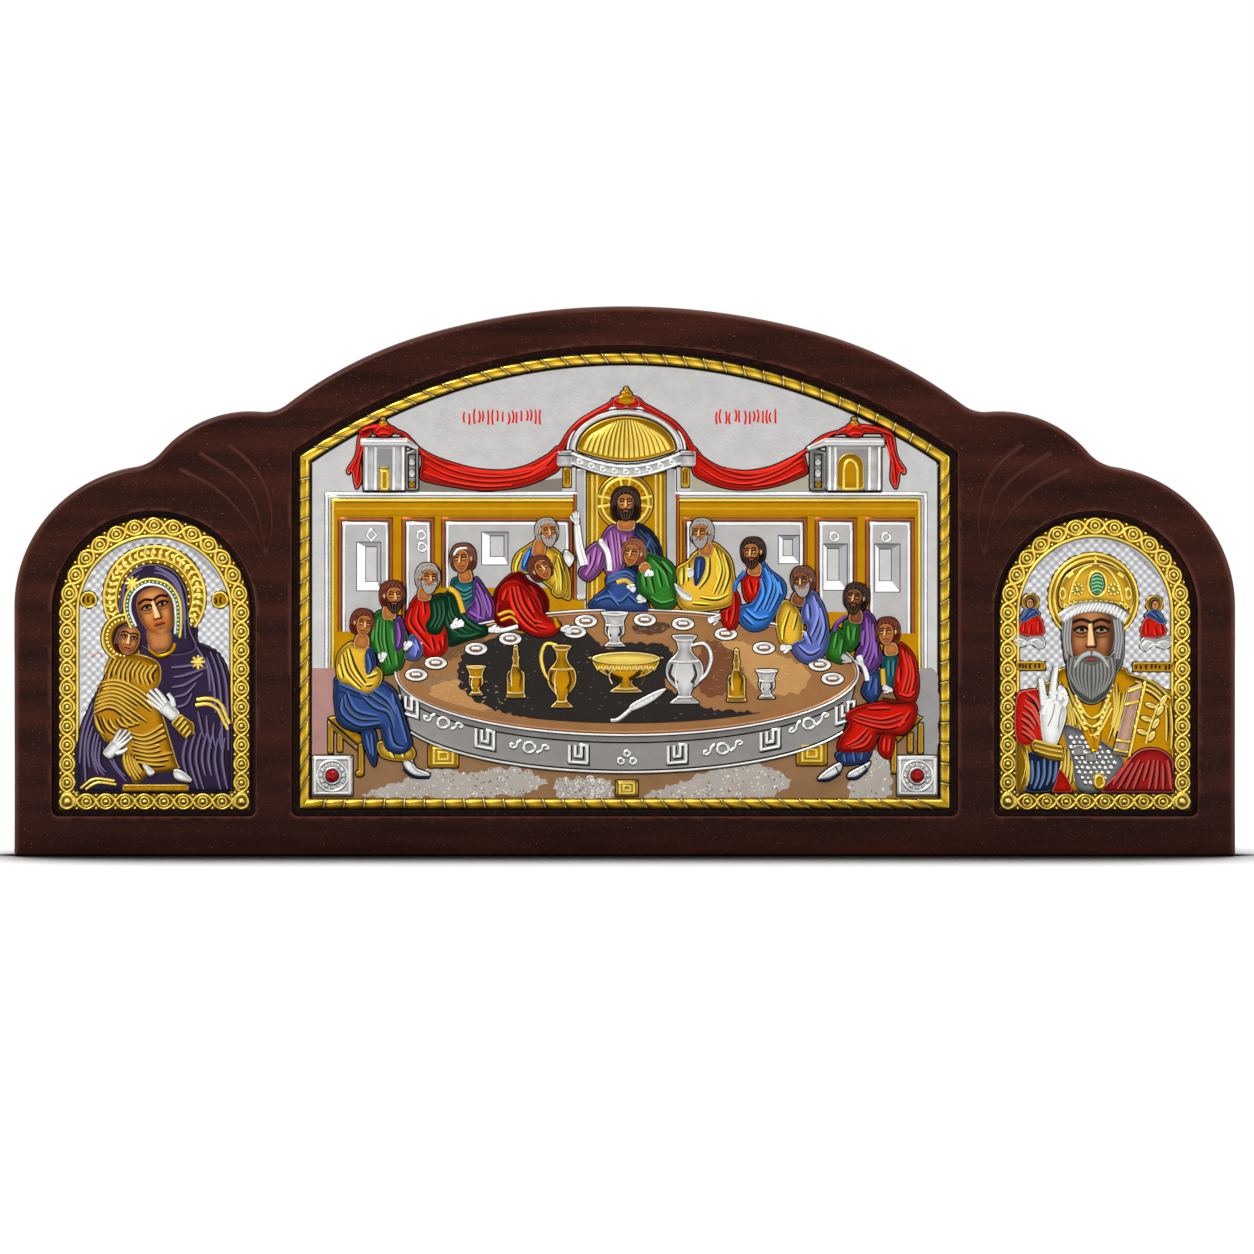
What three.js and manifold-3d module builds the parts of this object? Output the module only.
// A triptych icon panel that stands on a shelf: one lobed wooden board with three arched recesses,
// an embossed metal plate in each, and two red stones on the corner bosses of the middle plate.
// Millimetres. +X is the viewer's right, +Z is up, and the front faces -Y.
// The origin is the middle of the underside.
import * as THREE from 'three';
import { mergeVertices } from 'three/addons/utils/BufferGeometryUtils.js';
import Module from 'manifold-3d';

const wasm = await Module();
wasm.setup();

// Board
const boardWidth = 400;
const boardHeight = 180.2;
const boardThickness = 20;
const frontRounding = 2.2;
const outerLobeRadius = 46.5;
const outerLobeHeight = 81.6;
const middleLobeRadius = 38.3;
const middleLobeOffset = 30.8;
const middleLobeRise = 25.9;
const haunchRadius = 139.2;
const crownRadius = 236.6;
const crownHalfAngle = THREE.MathUtils.degToRad(15.6);
const outerNotchFillet = 14;
const innerNotchFillet = 12;

// Recesses
const recessDepth = 5;
const recessBottom = 13;
const centerWindowWidth = 218.3;
const centerWindowTop = 167.5;
const centerArchRadius = 187;
const sideWindowWidth = 66.9;
const sideWindowOffset = 154.2;
const sideSpringHeight = 79.8;
const windowCornerRadius = 2.5;

// Plates
const plateGap = 1.9;
const plateThickness = 1.5;
const seatGap = 0.3;
const reliefSink = 0.35;

// Rope border of the middle plate
const ropeWidth = 4.2;
const ropeHeight = 1.7;
const ropeGrooveHeight = 0.6;
const ropeFootHeight = 0.35;
const ropePitch = 6.5;
const ropeSlant = 0.55;
const ropeLip = 0.25;

// Border of the side plates
const rosettePitch = 6.6;
const rosetteRadius = 2.6;
const rosetteHeight = 1.2;
const borderWidth = 5.9;
const borderLineWidth = 0.8;
const borderLineHeight = 0.6;

// Carved fans on the board
const grooveWidth = 2;
const grooveTipWidth = 1;
const grooveDepth = 1.2;
const fanApex = [117.4, 98.7];
const fanGrooves = [
  [[145.5, 126.8], [134.5, 120.9], [125.8, 112.4]],
  [[139.2, 132.1], [127.2, 124.1], [121.1, 115.3]],
  [[129.7, 134.7], [122.6, 128.8], [117.4, 120.4], [115.6, 110]],
];

// Corner bosses and stones
const bossSize = 13.6;
const bossHeight = 1;
const bossMargin = 0.4;
const stoneRadius = 2.05;
const stoneHeight = 1.3;
const stoneClearance = 0.3;
const bezelWidth = 1;
const bezelHeight = 0.5;

// Facets
const chordError = 0.16;

const materials = {
  wood: { color: 0x30180f, roughness: 0.45, metalness: 0 },
  silver: { color: 0xc6c6c4, roughness: 0.32, metalness: 1 },
  gilt: { color: 0xd2aa3a, roughness: 0.3, metalness: 1 },
  stone: { color: 0xb01218, roughness: 0.1, metalness: 0 },
};

const frontFace = boardThickness / 2;
const plateBack = frontFace - recessDepth + seatGap;
const ground = plateBack + plateThickness;

// Outlines. A point is [x, z], and an outline runs anticlockwise as the viewer sees it.

function arc(center, radius, from, to) {
  const step = 2 * Math.acos(1 - chordError / Math.max(radius, 2 * chordError));
  const count = Math.max(2, Math.ceil(Math.abs(to - from) / step));
  const curve = new THREE.EllipseCurve(center[0], center[1], radius, radius, from, to, to < from);
  return curve.getPoints(count).map((p) => [p.x, p.y]);
}

function ellipse(center, rx, rz, count, tilt = 0) {
  const curve = new THREE.EllipseCurve(center[0], center[1], rx, rz, 0, 2 * Math.PI, false, tilt);
  return curve.getPoints(count).slice(0, count).map((p) => [p.x, p.y]);
}

function mirrored(points) {
  return points.map(([x, z]) => [-x, z]).reverse();
}

function withoutRepeats(points) {
  const isNew = (p, i) => {
    const before = points[(i + points.length - 1) % points.length];
    return Math.hypot(p[0] - before[0], p[1] - before[1]) > 1e-3;
  };
  return points.filter(isNew);
}

function angleTo(from, to) {
  return Math.atan2(to[1] - from[1], to[0] - from[0]);
}

// Where a fillet that touches two circles from outside has its centre, on the side away from the origin.
function filletCenter(a, radiusA, b, radiusB, fillet) {
  const reachA = radiusA + fillet;
  const reachB = radiusB + fillet;
  const span = Math.hypot(b[0] - a[0], b[1] - a[1]);
  const along = (reachA * reachA - reachB * reachB + span * span) / (2 * span);
  const aside = Math.sqrt(reachA * reachA - along * along);
  const ux = (b[0] - a[0]) / span;
  const uz = (b[1] - a[1]) / span;
  return [a[0] + ux * along + uz * aside, a[1] + uz * along - ux * aside];
}

// The right half runs up from the foot over the outer lobe, the middle lobe and the haunch to the crown.
function boardOutline() {
  const half = boardWidth / 2;
  const outer = [half - outerLobeRadius, outerLobeHeight];
  const middle = [outer[0] - middleLobeOffset, outer[1] + middleLobeRise];
  const crown = [0, boardHeight - crownRadius];
  const reach = crownRadius - haunchRadius;
  const haunch = [reach * Math.sin(crownHalfAngle), crown[1] + reach * Math.cos(crownHalfAngle)];
  const lower = filletCenter(outer, outerLobeRadius, middle, middleLobeRadius, outerNotchFillet);
  const upper = filletCenter(middle, middleLobeRadius, haunch, haunchRadius, innerNotchFillet);
  const quarter = Math.PI / 2;
  const right = [
    [half, 0],
    ...arc(outer, outerLobeRadius, 0, angleTo(outer, lower)),
    ...arc(lower, outerNotchFillet, angleTo(lower, outer) + 2 * Math.PI, angleTo(lower, middle) + 2 * Math.PI),
    ...arc(middle, middleLobeRadius, angleTo(middle, lower), angleTo(middle, upper)),
    ...arc(upper, innerNotchFillet, angleTo(upper, middle) + 2 * Math.PI, angleTo(upper, haunch) + 2 * Math.PI),
    ...arc(haunch, haunchRadius, angleTo(haunch, upper), quarter - crownHalfAngle),
    ...arc(crown, crownRadius, quarter - crownHalfAngle, quarter),
  ];
  return withoutRepeats([...right, ...mirrored(right)]);
}

// An arched opening: straight foot and sides under one arch. The side windows' arch is a half circle.
const centerWindow = {
  x: 0,
  half: centerWindowWidth / 2,
  foot: recessBottom,
  archRadius: centerArchRadius,
  archHeight: centerWindowTop - centerArchRadius,
};
const sideWindow = (side) => ({
  x: side * sideWindowOffset,
  half: sideWindowWidth / 2,
  foot: recessBottom,
  archRadius: sideWindowWidth / 2,
  archHeight: sideSpringHeight,
});

// The four runs of an arched outline that lies inset from the window: foot, right side, arch, left side.
function archedRuns(opening, inset) {
  const half = opening.half - inset;
  const foot = opening.foot + inset;
  const radius = opening.archRadius - inset;
  const swing = Math.asin(Math.min(1, half / radius));
  const spring = opening.archHeight + radius * Math.cos(swing);
  const place = (x, z) => [opening.x + x, z];
  return [
    { length: 2 * half, at: (t) => place(half * (2 * t - 1), foot) },
    { length: spring - foot, at: (t) => place(half, foot + (spring - foot) * t) },
    {
      length: 2 * swing * radius,
      at: (t) => {
        const angle = swing * (1 - 2 * t);
        return place(radius * Math.sin(angle), opening.archHeight + radius * Math.cos(angle));
      },
    },
    { length: spring - foot, at: (t) => place(-half, spring - (spring - foot) * t) },
  ];
}

function archedOutline(opening, inset, cornerRadius) {
  const radius = opening.archRadius - inset;
  const count = Math.ceil(archedRuns(opening, inset)[2].length / (4 * Math.sqrt(chordError * radius)));
  const [foot, , arch] = archedRuns(opening, inset);
  const [left, right] = [foot.at(0), foot.at(1)];
  const quarter = Math.PI / 2;
  const points = [
    ...arc([left[0] + cornerRadius, left[1] + cornerRadius], cornerRadius, 2 * quarter, 3 * quarter),
    ...arc([right[0] - cornerRadius, right[1] + cornerRadius], cornerRadius, -quarter, 0),
  ];
  for (let i = 0; i <= count; i += 1) {
    points.push(arch.at(i / count));
  }
  return withoutRepeats(points);
}

// Solids

function solidOf(geometry) {
  const bare = geometry.clone();
  bare.deleteAttribute('normal');
  bare.deleteAttribute('uv');
  const merged = mergeVertices(bare, 1e-4);
  const vertProperties = new Float32Array(merged.attributes.position.array);
  const triVerts = new Uint32Array(merged.index.array);
  return new wasm.Manifold(new wasm.Mesh({ numProp: 3, vertProperties, triVerts }));
}

function geometryOf(solid) {
  const mesh = solid.getMesh();
  const geometry = new THREE.BufferGeometry();
  geometry.setAttribute('position', new THREE.BufferAttribute(new Float32Array(mesh.vertProperties), 3));
  geometry.setIndex(new THREE.BufferAttribute(new Uint32Array(mesh.triVerts), 1));
  geometry.computeVertexNormals();
  return geometry;
}

// A prism on the outline, from one depth to another, where depth grows towards the viewer.
// rounding is the radius of both ends' edges, inside the outline.
function prism(outline, from, to, rounding = 0, segments = 1) {
  const shape = new THREE.Shape(outline.map(([x, z]) => new THREE.Vector2(x, z)));
  const geometry = new THREE.ExtrudeGeometry(shape, {
    depth: to - from - 2 * rounding,
    bevelEnabled: rounding > 0,
    bevelThickness: rounding,
    bevelSize: rounding,
    bevelOffset: -rounding,
    bevelSegments: segments,
  });
  geometry.translate(0, 0, from + rounding);
  geometry.rotateX(Math.PI / 2);
  return solidOf(geometry);
}

// The outline moved inwards by a distance, with mitred corners.
function insetOutline(outline, distance) {
  return outline.map((point, i) => {
    const before = outline[(i + outline.length - 1) % outline.length];
    const after = outline[(i + 1) % outline.length];
    const arriving = angleTo(before, point);
    const leaving = angleTo(point, after);
    const middle = (arriving + leaving) / 2 + (Math.abs(arriving - leaving) > Math.PI ? Math.PI : 0);
    const turn = Math.cos(middle - arriving);
    const reach = distance / Math.max(0.6, Math.abs(turn));
    return [point[0] - Math.sin(middle) * reach, point[1] + Math.cos(middle) * reach];
  });
}

// A raised form on a plate's ground. Its walls lean inwards by the given inset.
function raised(outline, height, inset = 0.3) {
  const rings = [
    { points: outline, depth: ground - reliefSink },
    { points: insetOutline(outline, inset), depth: ground + height },
  ];
  const positions = rings.flatMap(({ points, depth }) => points.flatMap(([x, z]) => [x, -depth, z]));
  const count = outline.length;
  const index = [];
  for (let i = 0; i < count; i += 1) {
    const next = (i + 1) % count;
    index.push(i, next, count + next, i, count + next, count + i);
  }
  const flat = outline.map(([x, z]) => new THREE.Vector2(x, z));
  THREE.ShapeUtils.triangulateShape(flat, []).forEach(([i, j, k]) => {
    index.push(k, j, i, count + i, count + j, count + k);
  });
  const geometry = new THREE.BufferGeometry();
  geometry.setAttribute('position', new THREE.BufferAttribute(new Float32Array(positions), 3));
  geometry.setIndex(index);
  return solidOf(geometry);
}

function disc(center, radius, height, count = 12, rim = 0.3) {
  return raised(ellipse(center, radius, radius, count), height, rim);
}

function bar(left, bottom, right, top, height, rim = 0) {
  return raised([[left, bottom], [right, bottom], [right, top], [left, top]], height, rim);
}

// A band of even or tapering width along a line, such as an arm, a groove or a fold.
function bandOutline(line, startWidth, endWidth, roundStart = false) {
  const left = [];
  const right = [];
  line.forEach((point, i) => {
    const before = line[Math.max(0, i - 1)];
    const after = line[Math.min(line.length - 1, i + 1)];
    const angle = angleTo(before, after);
    const width = startWidth + (endWidth - startWidth) * (i / (line.length - 1));
    const side = [(-Math.sin(angle) * width) / 2, (Math.cos(angle) * width) / 2];
    left.push([point[0] + side[0], point[1] + side[1]]);
    right.push([point[0] - side[0], point[1] - side[1]]);
  });
  const cap = [];
  if (roundStart) {
    const angle = angleTo(line[0], line[1]);
    for (let i = 1; i < 4; i += 1) {
      const turn = angle + Math.PI / 2 + (Math.PI * i) / 4;
      cap.push([line[0][0] + (Math.cos(turn) * startWidth) / 2, line[0][1] + (Math.sin(turn) * startWidth) / 2]);
    }
  }
  return [...cap, ...right, ...left.reverse()];
}

function band(line, startWidth, endWidth, height, rim = 0.3) {
  return raised(bandOutline(line, startWidth, endWidth), height, rim);
}

function smooth(points, count) {
  const curve = new THREE.CatmullRomCurve3(points.map(([x, z]) => new THREE.Vector3(x, z, 0)));
  return curve.getPoints(count).map((p) => [p.x, p.y]);
}

// A closed band with low upright sides under a ridge, which has its own height at each station.
function ridgedBand(stations, footHeight) {
  const floor = ground - reliefSink;
  const positions = stations.flatMap(({ outer, ridge, inner, height }) => [
    outer[0], -floor, outer[1],
    outer[0], -(ground + footHeight), outer[1],
    ridge[0], -(ground + height), ridge[1],
    inner[0], -(ground + footHeight), inner[1],
    inner[0], -floor, inner[1],
  ]);
  const sides = 5;
  const index = [];
  stations.forEach((station, i) => {
    const next = (i + 1) % stations.length;
    for (let k = 0; k < sides; k += 1) {
      const a = sides * i + k;
      const b = sides * i + ((k + 1) % sides);
      const c = sides * next + ((k + 1) % sides);
      const d = sides * next + k;
      index.push(a, d, c, a, c, b);
    }
  });
  const geometry = new THREE.BufferGeometry();
  geometry.setAttribute('position', new THREE.BufferAttribute(new Float32Array(positions), 3));
  geometry.setIndex(index);
  return solidOf(geometry);
}

// Two stations to each twist: the groove and the crest. Slant moves the inner side ahead of the outer.
function ropeBorder(opening) {
  const outerRuns = archedRuns(opening, plateGap + ropeLip);
  const ridgeRuns = archedRuns(opening, plateGap + ropeWidth / 2);
  const innerRuns = archedRuns(opening, plateGap + ropeWidth);
  const stations = [];
  outerRuns.forEach((run, i) => {
    const twists = Math.round(run.length / ropePitch);
    for (let k = 0; k < 2 * twists; k += 1) {
      const t = k / (2 * twists);
      const lead = k === 0 ? 0 : ropeSlant / twists / 2;
      stations.push({
        outer: run.at(Math.max(0, t - lead)),
        ridge: ridgeRuns[i].at(t),
        inner: innerRuns[i].at(Math.min(1, t + lead)),
        height: k % 2 === 0 ? ropeGrooveHeight : ropeHeight,
      });
    }
  });
  return ridgedBand(stations, ropeFootHeight);
}

function borderLine(opening) {
  const stations = [];
  const insets = [borderWidth, borderWidth + borderLineWidth / 2, borderWidth + borderLineWidth];
  const [outer, ridge, inner] = insets.map((inset) => archedRuns(opening, plateGap + inset));
  const steps = [1, 1, 10, 1];
  steps.forEach((count, run) => {
    for (let k = 0; k < count; k += 1) {
      const t = k / count;
      stations.push({
        outer: outer[run].at(t),
        ridge: ridge[run].at(t),
        inner: inner[run].at(t),
        height: borderLineHeight,
      });
    }
  });
  return ridgedBand(stations, borderLineHeight / 2);
}

function rosette(center) {
  const cone = new THREE.ConeGeometry(rosetteRadius, rosetteHeight + reliefSink, 4);
  cone.translate(center[0], (rosetteHeight - reliefSink) / 2 + ground, -center[1]);
  cone.rotateX(Math.PI);
  return solidOf(cone);
}

function rosetteBorder(opening) {
  const forms = [];
  archedRuns(opening, plateGap + borderWidth / 2).forEach((run) => {
    const count = Math.round(run.length / rosettePitch);
    for (let k = 0; k < count; k += 1) {
      forms.push(rosette(run.at(k / count)));
    }
  });
  return forms;
}

function plateBody(opening) {
  return prism(archedOutline(opening, plateGap, 1), plateBack, ground);
}

// Figures. Each is a head, a robe, a fold that falls from the neck, and arms that end in a hand.

const headHalfWidth = 4.1;
const headHalfHeight = 5.1;
const robeRelief = 1.2;
const foldRelief = 1.55;
const armRelief = 1.9;
const headRelief = 2.2;
const foldCount = 1;
const sleeveWidth = 3.6;
const wristWidth = 2.2;

function foldsOf(robe, neck) {
  const middle = robe.reduce((sum, p) => [sum[0] + p[0] / robe.length, sum[1] + p[1] / robe.length], [0, 0]);
  const start = [middle[0] * 0.55 + neck[0] * 0.45, middle[1] * 0.55 + neck[1] * 0.45];
  const lowest = [...robe].sort((a, b) => a[1] - b[1]).slice(0, foldCount);
  return lowest.map((foot) => {
    const end = [foot[0] * 0.75 + middle[0] * 0.25, foot[1] * 0.75 + middle[1] * 0.25];
    return band([start, end], 0.9, 1.5, foldRelief, 0.25);
  });
}

function figure({ head, robe, arms }) {
  const forms = [
    raised(ellipse(head, headHalfWidth, headHalfHeight, 6), headRelief, 1.2),
    raised(robe, robeRelief, 0.8),
    ...foldsOf(robe, head),
  ];
  arms.forEach((arm) => {
    forms.push(band(arm, sleeveWidth, wristWidth, armRelief, 0.6));
  });
  return forms;
}

// The thirteen figures at the table, from the viewer's left to the right.
const supperFigures = [
  {
    head: [-86, 75.6],
    robe: [[-92.7, 55.7], [-82.2, 52.9], [-79.4, 61], [-83.6, 70.4], [-90.5, 71], [-94.4, 63.5]],
    arms: [[[-85, 67], [-82.5, 56.5]], [[-83.5, 57.5], [-79.4, 63.6]]],
  },
  {
    head: [-76.4, 85],
    robe: [[-79.4, 63.4], [-72.9, 61.3], [-67.6, 67], [-72.9, 79.5], [-80.8, 80.9], [-82.2, 71.1]],
    arms: [[[-78.5, 74], [-75, 66], [-71, 68]]],
  },
  {
    head: [-65.2, 91.4],
    robe: [[-68.5, 70], [-61.3, 65.5], [-55, 74.5], [-61.5, 86], [-69.9, 86.5], [-71.8, 80]],
    arms: [[[-67.5, 81], [-62, 69], [-55, 76]]],
  },
  {
    head: [-53, 97],
    robe: [[-52.2, 71.1], [-43.8, 73.9], [-41.3, 79.5], [-49.1, 92.8], [-57.5, 92.1], [-56.5, 79.5]],
    arms: [[[-48, 88], [-46, 77], [-39.5, 75.8]]],
  },
  {
    head: [-25.2, 106.5],
    robe: [[-25.6, 85.1], [-20, 80.9], [-16.1, 87], [-21.4, 101.2], [-32.5, 101.2], [-34, 93.5]],
    arms: [[[-18, 89], [-18.6, 97.3]]],
  },
  {
    head: [-27.7, 94.3],
    robe: [[-35.4, 76.7], [-22.8, 72.3], [-25.6, 86], [-31.2, 91.4], [-37, 92.6], [-42.6, 86],
      [-42.7, 77.4]],
    arms: [[[-36, 88], [-30, 78.5], [-18.5, 73.6]]],
  },
  {
    head: [0.3, 115.2],
    robe: [[-8.8, 82.3], [12.2, 85.1], [12, 99.5], [8.7, 106.8], [-6.7, 106.3], [-11.5, 99]],
    arms: [[[-8, 101], [-13.5, 93.5]], [[-13, 93.5], [-16, 111.5]]],
  },
  {
    head: [2.8, 99.2],
    robe: [[5.2, 83], [13.6, 80.9], [17.1, 86], [16.6, 93], [12.2, 97.7], [-5.3, 92.8], [-6, 85.1]],
    arms: [[[11.5, 86], [7.6, 92.1]]],
  },
  {
    head: [25.4, 105.9],
    robe: [[21.2, 83], [30.3, 81.6], [35.9, 85.1], [34.5, 96.3], [28.2, 101.9], [18.8, 98]],
    arms: [[[28, 96], [24, 87.5], [18.7, 86.5]]],
  },
  {
    head: [42.1, 99.4],
    robe: [[38.7, 76.7], [47.1, 75.3], [52, 79.5], [51.3, 90], [46.4, 94.9], [37.2, 93]],
    arms: [[[47, 89], [42, 80], [35, 78.6]]],
  },
  {
    head: [58.4, 90.7],
    robe: [[55.5, 66.2], [61.8, 64.1], [66.4, 69.7], [66, 79.5], [61.8, 85.8], [52.2, 83]],
    arms: [[[62.5, 80], [59, 69], [53.1, 68.5]]],
  },
  {
    head: [75.4, 84.5],
    robe: [[67.2, 68.3], [77.9, 61.3], [82.8, 65.5], [82.1, 73.9], [78.6, 79.5], [69, 77.8]],
    arms: [[[80, 74], [77, 66], [72.5, 64]]],
  },
  {
    head: [86.2, 73],
    robe: [[79.3, 51.5], [86.3, 47.3], [95.4, 50.1], [95.4, 61.3], [90.5, 68.3], [82.2, 68.3]],
    arms: [[[90, 64], [84.5, 56.5], [77, 63.5]]],
  },
];

// Knees and feet of the two who sit in front of the table.
const seatedLegs = [
  [[-85.7, 37.5], [-80.8, 36.8], [-72.9, 33.1], [-69.6, 35.4], [-71.5, 42.4], [-81.5, 54],
    [-94.4, 57.1], [-94.4, 45]],
  [[70.2, 34.7], [84.9, 31.2], [86.3, 38.9], [91.9, 43.1], [95, 51], [83.5, 52], [73.7, 44.5]],
];
const legRelief = 1.5;
const sandals = [[-67.5, 28.6, -0.5], [66.5, 28.3, 0.4], [76.6, 28.3, 0.6]];

function seatedParts() {
  const forms = seatedLegs.map((leg) => raised(leg, legRelief, 0.5));
  forms.push(band([[-71.5, 34], [-69, 30]], 2.6, 2, legRelief));
  sandals.forEach(([x, z, tilt]) => forms.push(raised(ellipse([x, z], 4, 1.7, 8, tilt), legRelief, 0.3)));
  return forms;
}

// Two gold stools, each a seat and two legs.
const stoolRelief = 0.9;
function stools() {
  return [-1, 1].flatMap((side) => {
    const seat = [[side * 98, 47], [side * 86, 41.5]];
    return [
      band(seat, 2.6, 2.6, stoolRelief),
      bar(side * 96.8 - 1, 30, side * 96.8 + 1, 47, stoolRelief),
      bar(side * 87 - 1, 26, side * 87 + 1, 42, stoolRelief),
    ];
  });
}

// The round table: top, raised rim, and the apron that drops below its front edge.
const table = { x: 0.7, z: 60.2, halfWidth: 76.4, halfDepth: 21.1, apron: 12.1, apronReach: 0.93, rim: 1.4 };
const tableFacets = 12;
const tabletopRelief = 0.45;
const apronRelief = 0.9;
const rimRelief = 1.3;

function tableParts() {
  const front = (drop, shrink, reach) => {
    const points = [];
    const margin = Math.acos(reach);
    for (let i = 0; i <= tableFacets; i += 1) {
      const angle = Math.PI + margin + ((Math.PI - 2 * margin) * i) / tableFacets;
      const x = table.x + (table.halfWidth - shrink) * Math.cos(angle);
      points.push([x, table.z + (table.halfDepth - shrink) * Math.sin(angle) - drop]);
    }
    return points;
  };
  const middle = table.rim / 2;
  const apron = [...front(table.apron, 0, table.apronReach), ...front(0, middle, 0.99).reverse()];
  const forms = [
    raised(ellipse([table.x, table.z], table.halfWidth - middle, table.halfDepth - middle, 24), tabletopRelief, 0),
    raised(apron, apronRelief, 0.2),
    raised([...front(0, 0, 1), ...front(0, table.rim, 1).reverse()], rimRelief, 0.2),
  ];
  [[-59.5, 32.5, 10, 8], [61.3, 33.5, 10, 8.4], [0.7, 22.1, 7.2, 5.2]].forEach(([x, z, w, h]) => {
    forms.push(bar(x - w / 2, z - h / 2, x + w / 2, z + h / 2, 0.6));
  });
  return forms;
}

// Vessels: each turned outline is given by half widths at shares of its height, from the foot up.
const vesselRelief = 1.5;
const goblet = [[0.85, 0], [0.35, 0.2], [1, 0.55], [0.9, 1]];
const bottle = [[0.95, 0], [1, 0.5], [0.45, 0.62], [0.3, 1]];
const jug = [[0.75, 0], [0.4, 0.12], [1, 0.42], [0.4, 0.75], [0.7, 1]];
const bowl = [[0.5, 0], [0.2, 0.3], [0.75, 0.5], [1, 0.95]];
const vessels = [
  { x: -48.7, z: 57.6, width: 6, height: 9.6, outline: goblet },
  { x: -35.7, z: 60.5, width: 6.4, height: 17, outline: bottle },
  { x: -20.6, z: 58.9, width: 9.4, height: 20.4, outline: jug, handle: -1 },
  { x: 0.4, z: 60.2, width: 22, height: 12.2, outline: bowl },
  { x: 19.6, z: 61.2, width: 12, height: 22.4, outline: jug, handle: 1 },
  { x: 36.6, z: 59.2, width: 6.2, height: 17, outline: bottle },
  { x: 46.5, z: 56.4, width: 6.6, height: 9.4, outline: goblet },
  { x: -3.3, z: 74.1, width: 7.6, height: 11.8, outline: goblet },
];
const dishes = [
  [-68.3, 59.4], [-61.9, 63.3], [-48.7, 67.9], [-37.5, 71.2], [-16.3, 73.5], [-12.7, 77.4], [6.6, 77.4],
  [19.1, 76.1], [33.1, 72.8], [45.6, 68.2], [63.9, 62.7], [68.1, 58.1],
];

function vesselParts() {
  const forms = vessels.flatMap(({ x, z, width, height, outline, handle }) => {
    const right = outline.map(([w, h]) => [x + (w * width) / 2, z + (h - 0.5) * height]);
    const left = outline.map(([w, h]) => [x - (w * width) / 2, z + (h - 0.5) * height]).reverse();
    const pieces = [raised([...right, ...left], vesselRelief, 0.25)];
    if (handle) {
      const side = x + handle * width * 0.35;
      const tip = x + handle * width * 0.72;
      const line = [[side, z + height * 0.38], [tip, z + height * 0.2], [side, z - height * 0.02]];
      pieces.push(band(handle > 0 ? line.reverse() : line, 1.1, 1.1, vesselRelief - 0.4, 0));
    }
    return pieces;
  });
  dishes.forEach((center) => forms.push(raised(ellipse(center, 3.6, 2, 5), 0.8, 0.4)));
  forms.push(band([[-4.5, 44.3], [13.5, 54.1]], 0.8, 2.4, 1.2, 0));
  return forms;
}

// The wall behind: a moulding above, gold uprights and small framed panels.
const wall = { half: 98.4, top: 119.5, opening: 14.5 };
const uprights = [[-95.9, 76], [-78, 93], [-62.8, 98], [62.8, 97], [77.2, 91], [95.9, 72]];
const framedPanels = [
  [-84, 87, 8.4, 16], [-42.7, 100.7, 8.8, 10.4], [53.8, 100.2, 7.4, 8.6], [68.8, 94.9, 8.4, 15.4], [86.2, 94.8, 8.6, 15.6],
];

function wallParts() {
  const forms = [-1, 1].map((side) => {
    const ends = [side * wall.half, side * wall.opening].sort((a, b) => a - b);
    return bar(ends[0], wall.top - 1.8, ends[1], wall.top, 0.7);
  });
  uprights.forEach(([x, foot]) => forms.push(bar(x - 1.1, foot, x + 1.1, wall.top - 3, 0.4)));
  framedPanels.forEach(([x, z, w, h]) => forms.push(bar(x - w / 2, z - h / 2, x + w / 2, z + h / 2, 0.5)));
  return forms;
}

// The canopy over the middle figure: niche, columns, curved beam and a ribbed shell.
const canopy = { x: 0.5, spring: 129.4, halfWidth: 21.8, rise: 16.6 };
const ribCount = 5;
function canopyParts() {
  const { x, spring, halfWidth, rise } = canopy;
  const shell = ellipse([x, spring], halfWidth - 4, rise - 2, 16).slice(0, 9);
  const crest = ellipse([x, spring], halfWidth, rise, 16).slice(0, 9);
  const inside = ellipse([x, spring], halfWidth - 2.5, rise - 2, 16).slice(0, 9);
  const forms = [
    bar(x - 13, 81, x + 13, 126, 0.3),
    raised([...crest, ...inside.reverse()], 1.2, 0.2),
    raised(shell, 1, 0.3),
    raised([[x - 18, 124.5], [x + 18, 124.5], [x + 19, 127], [x + 19, 130.5], [x - 19, 130.5], [x - 19, 127]], 1.2, 0.2),
  ];
  for (let i = 1; i < ribCount + 1; i += 1) {
    const angle = (Math.PI * i) / (ribCount + 1);
    const tip = [x + (halfWidth - 5) * Math.cos(angle), spring + (rise - 3) * Math.sin(angle)];
    forms.push(band([[x, spring + 1], tip], 0.5, 1.6, 1.5, 0));
  }
  [-1, 1].forEach((side) => {
    forms.push(bar(x + side * 20.2 - 2.4, 127, x + side * 20.2 + 2.4, 132.4, 1.4));
    forms.push(bar(x + side * 19.2 - 1, 119.5, x + side * 19.2 + 1, 127, 1));
    forms.push(bar(x + side * 14.7 - 1.6, 80, x + side * 14.7 + 1.6, 126, 0.7));
  });
  forms.push(disc([-0.1, 115.7], 9.2, 0.8, 14, 0.2));
  return forms;
}

// A tower at each end of the wall, and the cloth that hangs from them over the canopy.
const towers = [{ x: -77.2, width: 17, side: 1 }, { x: 71.2, width: 22, side: -1 }];
function towerParts() {
  return towers.flatMap(({ x, width, side }) => {
    const half = width / 2;
    return [
      bar(x - half, 119.4, x + half, 135, 0.5),
      bar(x - half - 1, 134.6, x + half + 1, 137.4, 1),
      bar(x - side * half * 0.3 - 3, 119.8, x - side * half * 0.3 + 3, 127.5, 0.8),
      bar(x + side * half * 0.75 - 1.2, 119.8, x + side * half * 0.75 + 1.2, 134, 0.8),
    ];
  });
}

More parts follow.
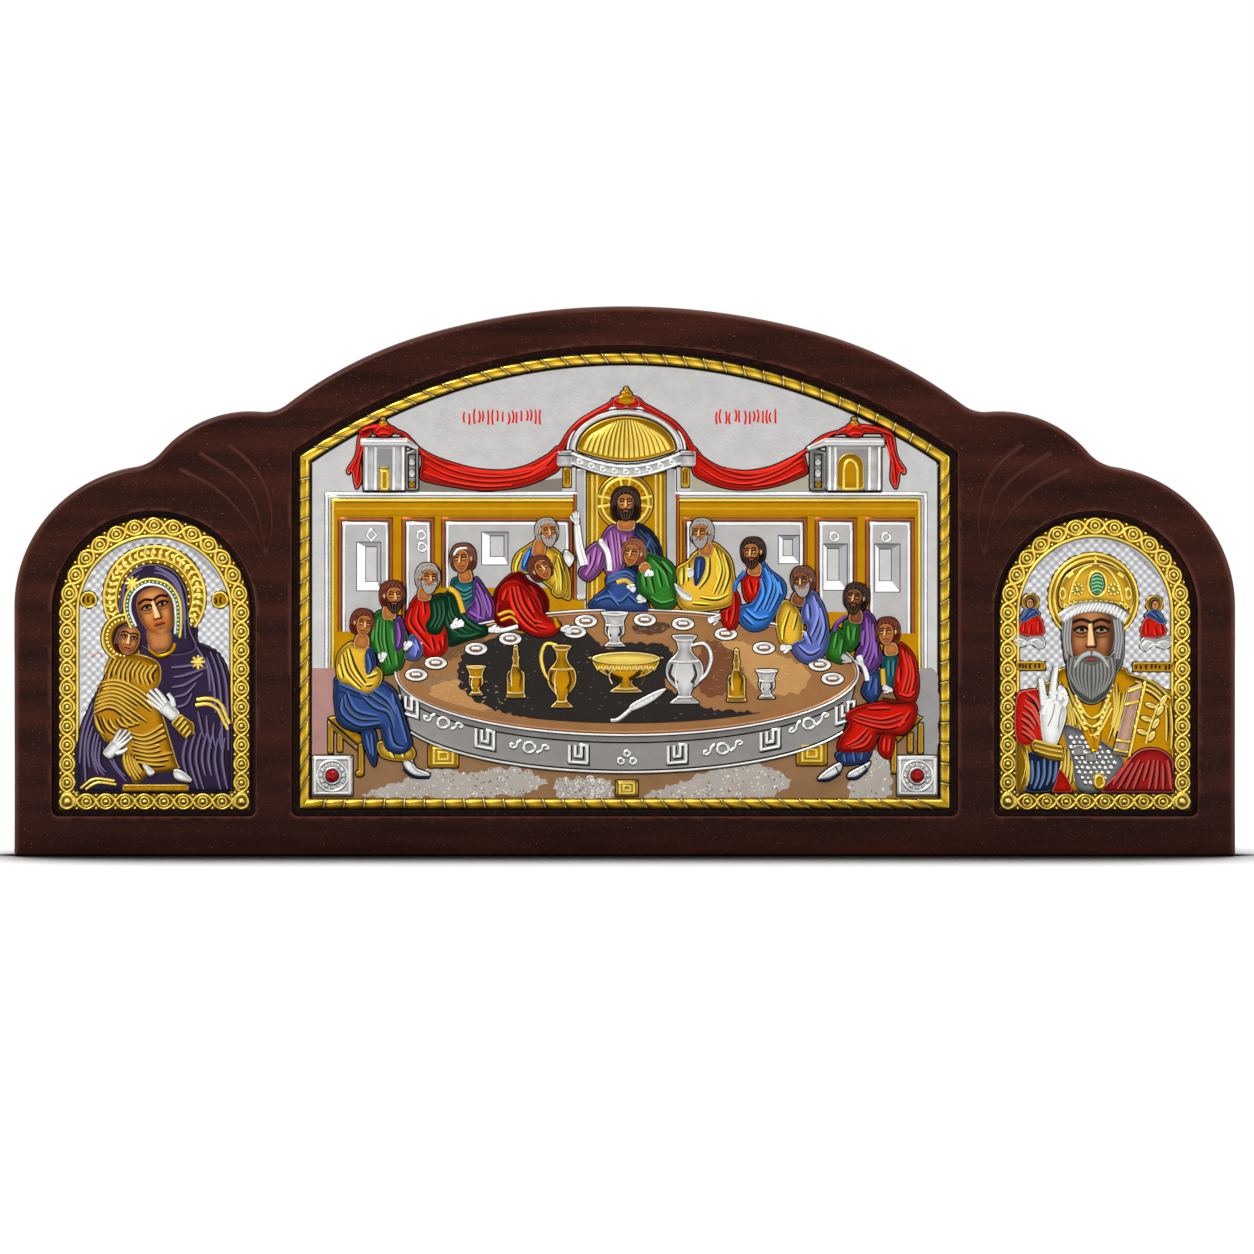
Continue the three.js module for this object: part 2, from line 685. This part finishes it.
const clothRelief = 1.2;
const swagTop = [[-77, 141.5], [-66, 137], [-54, 130], [-40, 128], [-22, 135]];
const swagBottom = [[-21, 131], [-31, 124.2], [-42, 120.6], [-57, 121], [-70, 128]];
function clothParts() {
  const half = [
    raised([...swagTop].reverse().concat([...swagBottom].reverse()), clothRelief, 0.4),
    raised([[-91, 132], [-88, 120], [-85.5, 120], [-81, 141.5], [-86, 141]], clothRelief, 0.3),
    raised(ellipse([-79, 140.5], 4.4, 3.6, 6), clothRelief + 0.4, 0.4),
    disc([-79, 145.2], 1.5, clothRelief + 0.5, 5, 0.3),
    band([[-22, 133], [-15, 142], [0.5, 148.2]], 2.6, 2.4, clothRelief + 0.3),
    band([[-66, 131.5], [-44, 124]], 0.8, 0.8, clothRelief + 0.35, 0),
  ];
  const other = half.map((solid) => solid.mirror([1, 0, 0]));
  return [...half, ...other, disc([0.5, 149.4], 2, clothRelief + 0.8, 6, 0.4)];
}

function bossCenter(side) {
  const inset = plateGap + ropeWidth + bossMargin + bossSize / 2;
  return [side * (centerWindow.half - inset), recessBottom + inset];
}

// The stone's seat is a ring on the boss, open in the middle.
function bossParts(side) {
  const [x, z] = bossCenter(side);
  const half = bossSize / 2;
  const forms = [bar(x - half, z - half, x + half, z + half, bossHeight)];
  const inner = stoneRadius + stoneClearance;
  const ring = disc([x, z], inner + bezelWidth, bossHeight + bezelHeight, 10, 0.2);
  const pocket = prism(ellipse([x, z], inner, inner, 10), ground + bossHeight, ground + bossHeight + 2);
  return [...forms, ring.subtract(pocket)];
}

function centerPlate() {
  const forms = [
    plateBody(centerWindow),
    ropeBorder(centerWindow),
    ...wallParts(),
    ...canopyParts(),
    ...towerParts(),
    ...clothParts(),
    ...tableParts(),
    ...vesselParts(),
    ...supperFigures.flatMap(figure),
    ...seatedParts(),
    ...stools(),
    ...bossParts(-1),
    ...bossParts(1),
  ];
  return wasm.Manifold.union(forms);
}

// The left plate: a mother with her child. Points are from the plate's middle line.
const motherRobe = [
  [-25.8, 21.1], [25.3, 21.1], [24.9, 51.2], [23.6, 62.7], [17.4, 68.2], [10.6, 73.5], [-12.7, 72],
  [-15.6, 60], [-21.2, 49.2], [-25.1, 37.5],
];
const childRobe = [
  [-20, 27], [-14, 22.5], [-6, 25], [1, 33], [6.5, 40], [8, 50], [4, 60], [-4, 66.5], [-12, 66],
  [-15.5, 57], [-16, 47], [-19, 37],
];

function motherAndChild() {
  return [
    disc([-0.4, 85.2], 17.2, 0.5, 20, 0.2),
    raised(motherRobe, 1, 0.4),
    raised(ellipse([-0.8, 82], 11.4, 14.2, 13, 0.1), 1.5, 0.8),
    raised(ellipse([-0.2, 80], 6.6, 8.6, 10, 0.1), 1.9, 0.8),
    band([[1.5, 82], [0.5, 77.5]], 1, 2, 2.3, 0),
    disc([-9.6, 72], 7.6, 1.2, 12, 0.2),
    raised(childRobe, 1.7, 0.5),
    raised(ellipse([-8.8, 71], 4.4, 5, 8), 2.3, 0.9),
    band([[-4, 62], [4, 55], [9, 59]], 3.2, 2.2, 2),
    band([[20, 58], [13, 42], [2, 50]], 8, 4, 1.7, 0.5),
    raised(ellipse([0, 51.5], 4.6, 2.4, 8, 2.4), 2.4, 0.4),
    raised(ellipse([-12.4, 35.8], 4.4, 2.4, 8, 0.7), 2.3, 0.4),
    disc([-21.6, 83.9], 2.9, 0.8, 8),
    disc([21, 83.9], 2.9, 0.8, 8),
    ...[-18, 12, 20].map((x) => band([[x, 24], [x * 0.8, 46]], 1.6, 0.6, 1.4, 0)),
    ...[-14, -8, -2].map((x, i) => band([[x, 30 + 4 * i], [x + 3, 60]], 1.4, 0.6, 2, 0)),
  ];
}

// The right plate: a bishop in a mitre, with a book and two small figures above his shoulders.
const bishopRobe = [
  [-25.6, 21.1], [26.4, 21.1], [26.4, 56], [18, 60], [9, 62], [-9, 62], [-16, 57.5], [-25.6, 54],
];
const mitre = [
  [-11, 78.7], [11.2, 78.7], [11.9, 87.2], [9.6, 93.1], [5.3, 96], [0, 96.7], [-4.5, 96],
  [-9.1, 93.1], [-11.7, 87.2],
];
const beard = [[-8.8, 70], [-8.2, 60], [-5, 53], [0, 50.5], [5, 53], [8.4, 60], [9, 70]];

function bishop() {
  const small = [-20.6, 20].flatMap((x) => [
    disc([x, 79.5], 3, 0.7, 8, 0),
    disc([x, 79], 1.7, 1.3, 6, 0.3),
    raised([[x - 4.6, 67], [x + 4.6, 67], [x + 3.6, 74], [x, 77.5], [x - 3.6, 74]], 1, 0.3),
  ]);
  return [
    disc([0, 85.2], 15.1, 0.5, 20, 0.2),
    raised(bishopRobe, 0.9, 0.4),
    raised(mitre, 1.7, 0.6),
    bar(-11.2, 76.4, 11.4, 81.6, 2, 0.3),
    raised(ellipse([0, 71], 9.4, 9.6, 11), 1.7, 0.8),
    raised(beard, 2, 0.5),
    band([[0, 74.5], [0, 67.5]], 1.2, 2.4, 2.3, 0),
    disc([1.5, 89], 2.3, 2.2, 8, 0.3),
    raised([[-25, 33.5], [-15, 34.5], [-14.5, 47], [-18, 54], [-25, 53]], 1.5, 0.5),
    band([[-19, 35.5], [-11.5, 36.5]], 4, 4, 1.9, 0.3),
    raised(ellipse([-13.3, 49], 3.6, 5.4, 9), 2.2, 0.5),
    band([[-14, 52], [-14.6, 62]], 2, 1.4, 2.2, 0),
    band([[-11.6, 52], [-11.2, 60]], 2, 1.4, 2.2, 0),
    band([[16.2, 56], [9.5, 32]], 6, 6, 1.8, 0.3),
    band([[1.4, 49], [1.4, 21.6]], 8, 8, 1.4, 0.3),
    disc([2, 25], 2.5, 2, 8),
    raised([[4, 21.4], [26, 21.4], [26, 33], [17, 35], [8, 30]], 1.7, 0.5),
    ...[12, 19].map((x) => band([[x, 22.5], [x + 1, 31]], 1.2, 0.6, 2, 0)),
    bar(-25.4, 60.7, -15.8, 64, 1.1),
    bar(12.4, 60.4, 25.6, 63.6, 1.1),
    ...small,
  ];
}

function sidePlate(side, forms) {
  const opening = sideWindow(side);
  const placed = forms.map((solid) => solid.translate([opening.x, 0, 0]));
  return wasm.Manifold.union([
    plateBody(opening),
    borderLine(opening),
    ...rosetteBorder(opening),
    ...placed,
  ]);
}

// Each fan's grooves start round and apart, and run together at one point below.
function fanCutters(side) {
  return fanGrooves.map((start) => {
    const line = smooth([...start, fanApex], 6).map(([x, z]) => [side * x, z]);
    const outline = bandOutline(line, grooveWidth, grooveTipWidth, true);
    return prism(outline, frontFace - grooveDepth, frontFace + 1);
  });
}

function board() {
  const backStock = 2 * frontRounding;
  const blank = prism(boardOutline(), -frontFace - backStock, frontFace, frontRounding, 2);
  const behind = new THREE.BoxGeometry(boardWidth * 2, backStock * 2, boardHeight * 4);
  behind.translate(0, frontFace + backStock, 0);
  const windows = [centerWindow, sideWindow(-1), sideWindow(1)].map((opening) =>
    prism(archedOutline(opening, 0, windowCornerRadius), frontFace - recessDepth, frontFace + 1));
  const cutters = [solidOf(behind), ...windows, ...fanCutters(-1), ...fanCutters(1)];
  return blank.subtract(wasm.Manifold.union(cutters));
}

// A stone is a low dome with a flat back.
function stone(side) {
  const [x, z] = bossCenter(side);
  const profile = [new THREE.Vector2(0, 0), new THREE.Vector2(stoneRadius, 0)];
  for (let k = 1; k < 3; k += 1) {
    const angle = (Math.PI * k) / 6;
    profile.push(new THREE.Vector2(stoneRadius * Math.cos(angle), stoneHeight * Math.sin(angle)));
  }
  profile.push(new THREE.Vector2(0, stoneHeight));
  const geometry = new THREE.LatheGeometry(profile, 12);
  geometry.rotateX(Math.PI);
  geometry.translate(x, -(ground + bossHeight + stoneClearance), z);
  return solidOf(geometry);
}

function part(name, solid, finish) {
  const mesh = new THREE.Mesh(geometryOf(solid), new THREE.MeshStandardMaterial(finish));
  mesh.name = name;
  return mesh;
}

const panel = new THREE.Group();
panel.add(
  part('board', board(), materials.wood),
  part('center_plate', centerPlate(), materials.silver),
  part('left_plate', sidePlate(-1, motherAndChild()), materials.gilt),
  part('right_plate', sidePlate(1, bishop()), materials.gilt),
  part('left_stone', stone(-1), materials.stone),
  part('right_stone', stone(1), materials.stone),
);

export default panel;
